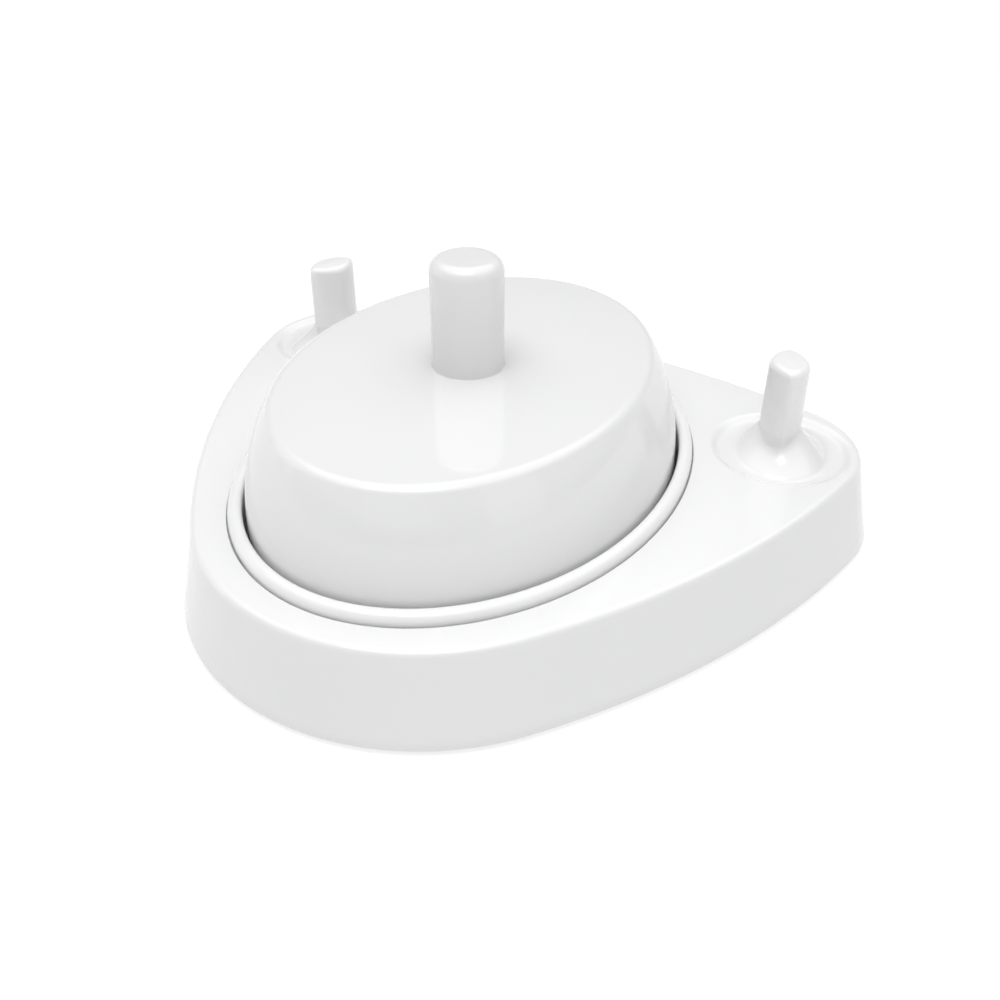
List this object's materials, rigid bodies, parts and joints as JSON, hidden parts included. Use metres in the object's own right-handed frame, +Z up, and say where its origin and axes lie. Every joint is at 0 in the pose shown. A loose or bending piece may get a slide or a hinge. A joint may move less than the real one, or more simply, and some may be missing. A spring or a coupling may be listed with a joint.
{
  "type": "electric toothbrush charging stand",
  "caption": "Oval inductive toothbrush charger with a round charging post, standing in the well of a rounded-triangular tray with pegs for spare brush heads.",
  "frame": {"origin": "on the table under the middle of the tray's outline", "axes": "+Z up; -Y is the rounded front; the two pegs are at the rear, at -X and +X"},
  "size_m": [0.1068, 0.0908, 0.0437],
  "materials": {
    "shell_white": "gloss white moulded ABS",
    "liner_white": "gloss white moulded ABS",
    "peg_white": "gloss white moulded ABS",
    "cover_white": "gloss white moulded ABS",
    "base_white": "fine matt white moulded ABS",
    "plate_grey": "fine matt pale grey moulded ABS",
    "foot_rubber": "soft grey rubber",
    "seal_rubber": "black silicone rubber",
    "screw_steel": "zinc-plated steel",
    "ferrite": "dark grey sintered ferrite",
    "bobbin_plastic": "cream glass-filled nylon",
    "copper": "enamelled copper wire",
    "board_green": "green solder resist on glass epoxy",
    "capacitor_sleeve": "dark blue shrink sleeve on an aluminium can",
    "film_yellow": "yellow moulded case",
    "choke_black": "black sleeve over a drum core",
    "chip_black": "black moulded epoxy",
    "resistor_blue": "pale blue lacquer",
    "lug_brass": "tinned brass"
  },
  "bodies": {
    "tray": {"tray_shell": "shell_white", "well_ring": "liner_white", "head_peg_left": "peg_white", "head_peg_right": "peg_white", "tray_base": "base_white", "tray_screws": "screw_steel", "foot_front": "foot_rubber", "foot_left": "foot_rubber", "foot_right": "foot_rubber"},
    "charger": {"charger_cover": "cover_white", "charger_base": "plate_grey", "cover_seal": "seal_rubber", "charger_feet": "foot_rubber", "ferrite_core": "ferrite", "coil_bobbin": "bobbin_plastic", "primary_coil": "copper", "circuit_board": "board_green", "board_screws": "screw_steel", "smoothing_capacitor": "capacitor_sleeve", "film_capacitor": "film_yellow", "input_choke": "choke_black", "bridge_rectifier": "chip_black", "switching_transistor": "chip_black", "fusible_resistor": "resistor_blue", "chip_resistors": "chip_black", "solder_lugs": "lug_brass"}
  },
  "joints": [
    {"name": "charger_lift", "type": "slide", "parent": "tray", "child": "charger", "axis": [0, 0, 1], "range_m": [0, 0.045]}
  ]
}
